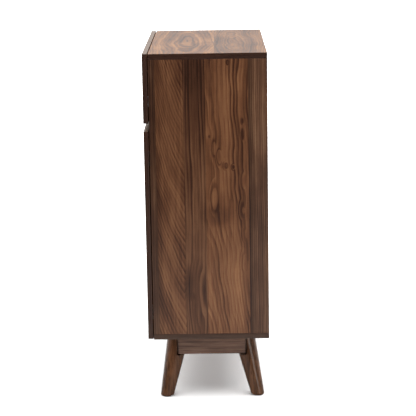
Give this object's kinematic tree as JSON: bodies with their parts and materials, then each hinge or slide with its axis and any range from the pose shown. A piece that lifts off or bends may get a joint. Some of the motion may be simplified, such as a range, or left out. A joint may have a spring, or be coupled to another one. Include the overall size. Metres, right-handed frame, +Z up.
{
  "type": "shoe cabinet",
  "caption": "Tall walnut-finish shoe cabinet: drawers above a finger gap, hinged doors over shelves, splayed tapered legs. Drawers slide out and doors swing open.",
  "frame": {"origin": "on the floor, under the middle of the cabinet's width and of its depth from front faces to back edge", "axes": "+Z up, -Y the way the fronts face, +X to the right as seen from the front"},
  "size_m": [0.8, 0.4, 1.15],
  "materials": {
    "walnut_veneer": "satin lacquered walnut pattern, grain upright on sides and fronts",
    "back_lining": "thin dark-faced fibreboard",
    "leg_wood": "stained and lacquered solid wood, satin",
    "glide_plastic": "dark moulded glide",
    "drawer_board": "foil-faced drawer board",
    "runner_steel": "zinc-plated pressed steel",
    "cage_steel": "thin pressed steel with steel balls",
    "hinge_steel": "nickel-plated pressed steel"
  },
  "bodies": {
    "cabinet": {"top_panel": "walnut_veneer", "bottom_panel": "walnut_veneer", "left_side_panel": "walnut_veneer", "right_side_panel": "walnut_veneer", "centre_partition": "walnut_veneer", "drawer_deck": "walnut_veneer", "drawer_partition": "walnut_veneer", "back_panel": "back_lining", "left_shelf_1": "walnut_veneer", "left_shelf_2": "walnut_veneer", "left_shelf_3": "walnut_veneer", "right_shelf_1": "walnut_veneer", "right_shelf_2": "walnut_veneer", "right_shelf_3": "walnut_veneer", "front_left_leg": "leg_wood", "front_right_leg": "leg_wood", "rear_left_leg": "leg_wood", "rear_right_leg": "leg_wood", "front_rail": "leg_wood", "rear_rail": "leg_wood", "left_rail": "leg_wood", "right_rail": "leg_wood", "front_left_glide": "glide_plastic", "front_right_glide": "glide_plastic", "rear_left_glide": "glide_plastic", "rear_right_glide": "glide_plastic", "left_outer_case_runner": "runner_steel", "left_inner_case_runner": "runner_steel", "left_lower_hinge_arm": "hinge_steel", "left_upper_hinge_arm": "hinge_steel", "right_outer_case_runner": "runner_steel", "right_inner_case_runner": "runner_steel", "right_lower_hinge_arm": "hinge_steel", "right_upper_hinge_arm": "hinge_steel"},
    "left_drawer": {"left_drawer_front": "walnut_veneer", "left_drawer_outer_side": "drawer_board", "left_drawer_inner_side": "drawer_board", "left_drawer_back": "drawer_board", "left_drawer_base": "drawer_board", "left_outer_drawer_runner": "runner_steel", "left_inner_drawer_runner": "runner_steel"},
    "left_cages": {"left_outer_ball_cage": "cage_steel", "left_inner_ball_cage": "cage_steel"},
    "left_door_leaf": {"left_door": "walnut_veneer", "left_lower_hinge_cup": "hinge_steel", "left_upper_hinge_cup": "hinge_steel"},
    "right_drawer": {"right_drawer_front": "walnut_veneer", "right_drawer_outer_side": "drawer_board", "right_drawer_inner_side": "drawer_board", "right_drawer_back": "drawer_board", "right_drawer_base": "drawer_board", "right_outer_drawer_runner": "runner_steel", "right_inner_drawer_runner": "runner_steel"},
    "right_cages": {"right_outer_ball_cage": "cage_steel", "right_inner_ball_cage": "cage_steel"},
    "right_door_leaf": {"right_door": "walnut_veneer", "right_lower_hinge_cup": "hinge_steel", "right_upper_hinge_cup": "hinge_steel"}
  },
  "joints": [
    {"name": "left_drawer_slide", "type": "slide", "parent": "cabinet", "child": "left_drawer", "axis": [0, -1, 0], "range_m": [0, 0.25]},
    {"name": "left_cage_slide", "type": "slide", "parent": "cabinet", "child": "left_cages", "axis": [0, -1, 0], "range_m": [0, 0.125]},
    {"name": "left_door_hinge", "type": "hinge", "parent": "cabinet", "child": "left_door_leaf", "pos_m": [-0.3926, -0.192, 0.2075], "axis": [0, 0, -1], "range_deg": [0, 105]},
    {"name": "right_drawer_slide", "type": "slide", "parent": "cabinet", "child": "right_drawer", "axis": [0, -1, 0], "range_m": [0, 0.25]},
    {"name": "right_cage_slide", "type": "slide", "parent": "cabinet", "child": "right_cages", "axis": [0, -1, 0], "range_m": [0, 0.125]},
    {"name": "right_door_hinge", "type": "hinge", "parent": "cabinet", "child": "right_door_leaf", "pos_m": [0.3926, -0.192, 0.2075], "axis": [0, 0, 1], "range_deg": [0, 105]}
  ],
  "couplings": [
    {"joint": "left_cage_slide", "follows": "left_drawer_slide", "ratio": 0.5},
    {"joint": "right_cage_slide", "follows": "right_drawer_slide", "ratio": 0.5}
  ]
}
